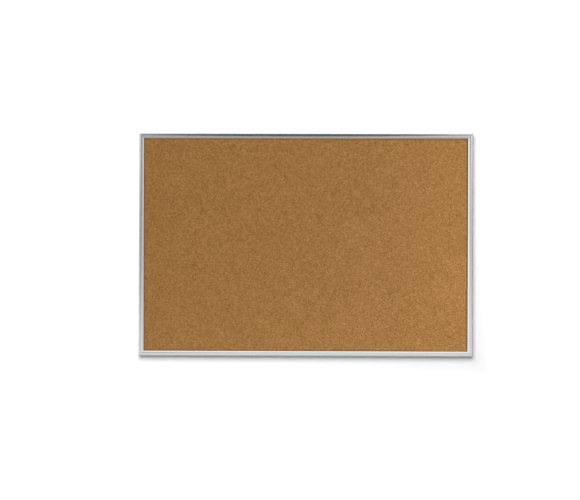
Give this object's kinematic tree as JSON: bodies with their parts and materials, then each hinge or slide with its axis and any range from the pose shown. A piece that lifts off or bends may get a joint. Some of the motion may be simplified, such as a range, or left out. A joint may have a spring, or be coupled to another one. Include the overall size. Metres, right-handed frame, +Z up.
{
  "type": "cork bulletin board",
  "caption": "Rectangular wall-hung cork pin board in a mitred satin aluminium frame, with keyhole hangers that slide along the rear channel of its top rail.",
  "frame": {"origin": "centre of the wall plane: the point behind the board's centre where the plane of the four wall pads' rear faces lies", "axes": "+X along the long side, to the right of someone facing the cork; +Y out of the back into the wall; +Z up"},
  "size_m": [0.9144, 0.0214, 0.6096],
  "materials": {
    "cork": "matte",
    "fiberboard": "matte",
    "backing_paper": "matte",
    "satin_aluminium": "satin",
    "zinc_steel": "satin",
    "rubber": "matte"
  },
  "bodies": {
    "board": {"cork_sheet": "cork", "fiberboard_core": "fiberboard", "backing_sheet": "backing_paper", "top_rail": "satin_aluminium", "bottom_rail": "satin_aluminium", "left_rail": "satin_aluminium", "right_rail": "satin_aluminium", "corner_plate_top_left": "zinc_steel", "corner_plate_top_right": "zinc_steel", "corner_plate_bottom_left": "zinc_steel", "corner_plate_bottom_right": "zinc_steel", "corner_shim_top_left": "zinc_steel", "corner_shim_top_right": "zinc_steel", "corner_shim_bottom_left": "zinc_steel", "corner_shim_bottom_right": "zinc_steel", "set_screw_top_left_a": "zinc_steel", "set_screw_top_left_b": "zinc_steel", "set_screw_top_right_a": "zinc_steel", "set_screw_top_right_b": "zinc_steel", "set_screw_bottom_left_a": "zinc_steel", "set_screw_bottom_left_b": "zinc_steel", "set_screw_bottom_right_a": "zinc_steel", "set_screw_bottom_right_b": "zinc_steel", "wall_pad_top_left": "rubber", "wall_pad_top_right": "rubber", "wall_pad_bottom_left": "rubber", "wall_pad_bottom_right": "rubber"},
    "hanger_left": {"hanger_plate_left": "zinc_steel", "hanger_nut_left": "zinc_steel", "hanger_screw_left": "zinc_steel"},
    "hanger_right": {"hanger_plate_right": "zinc_steel", "hanger_nut_right": "zinc_steel", "hanger_screw_right": "zinc_steel"}
  },
  "joints": [
    {"name": "hanger_left_slide", "type": "slide", "parent": "board", "child": "hanger_left", "axis": [1, 0, 0], "range_m": [-0.1, 0.28]},
    {"name": "hanger_right_slide", "type": "slide", "parent": "board", "child": "hanger_right", "axis": [1, 0, 0], "range_m": [-0.28, 0.1]}
  ]
}
